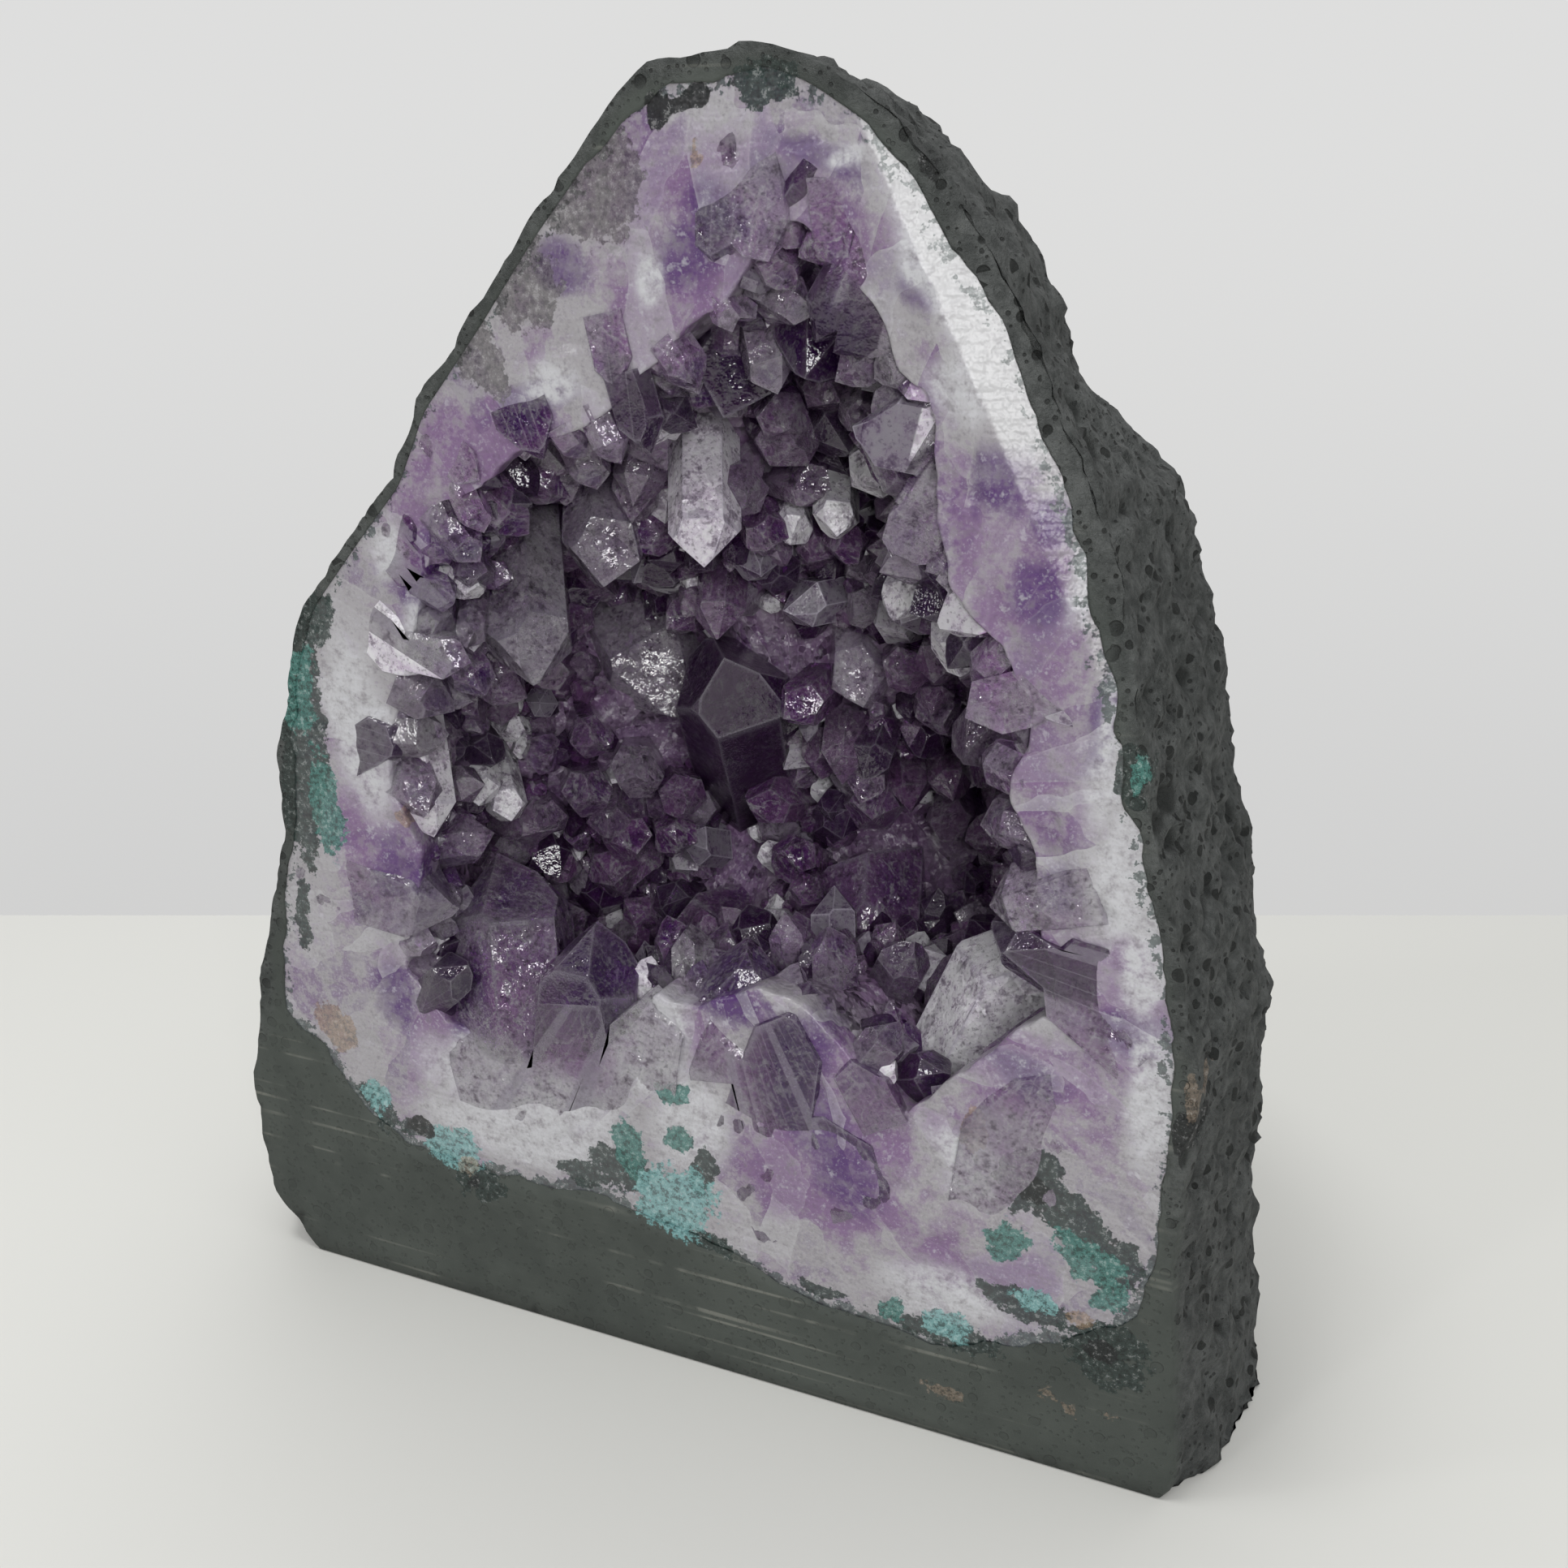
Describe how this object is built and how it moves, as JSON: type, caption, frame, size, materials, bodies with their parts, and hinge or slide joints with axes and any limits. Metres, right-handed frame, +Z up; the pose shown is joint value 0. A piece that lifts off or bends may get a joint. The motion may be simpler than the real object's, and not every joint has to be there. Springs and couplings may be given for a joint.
{
  "type": "amethyst cathedral geode",
  "caption": "Upright amethyst cathedral geode: dark basalt egg sawn flat across face and foot, its deep hollow lined with a milky to purple quartz crust of pointed crystals.",
  "frame": {"origin": "the middle of the flat foot: the middle of the width and of the depth, on the table plane", "axes": "+Z up, -Y out of the sawn face towards the viewer, +X to the viewer's right"},
  "size_m": [0.2285, 0.1304, 0.25],
  "materials": {
    "basalt": "matt dark greenish-grey stone, pitted outside, sawn smooth on the face and foot",
    "amethyst": "glassy crystal faces, purple in the hollow and milky near the stone, sawn satin on the rim"
  },
  "bodies": {
    "root": {"basalt_rind": "basalt", "amethyst_crust": "amethyst"}
  },
  "joints": []
}
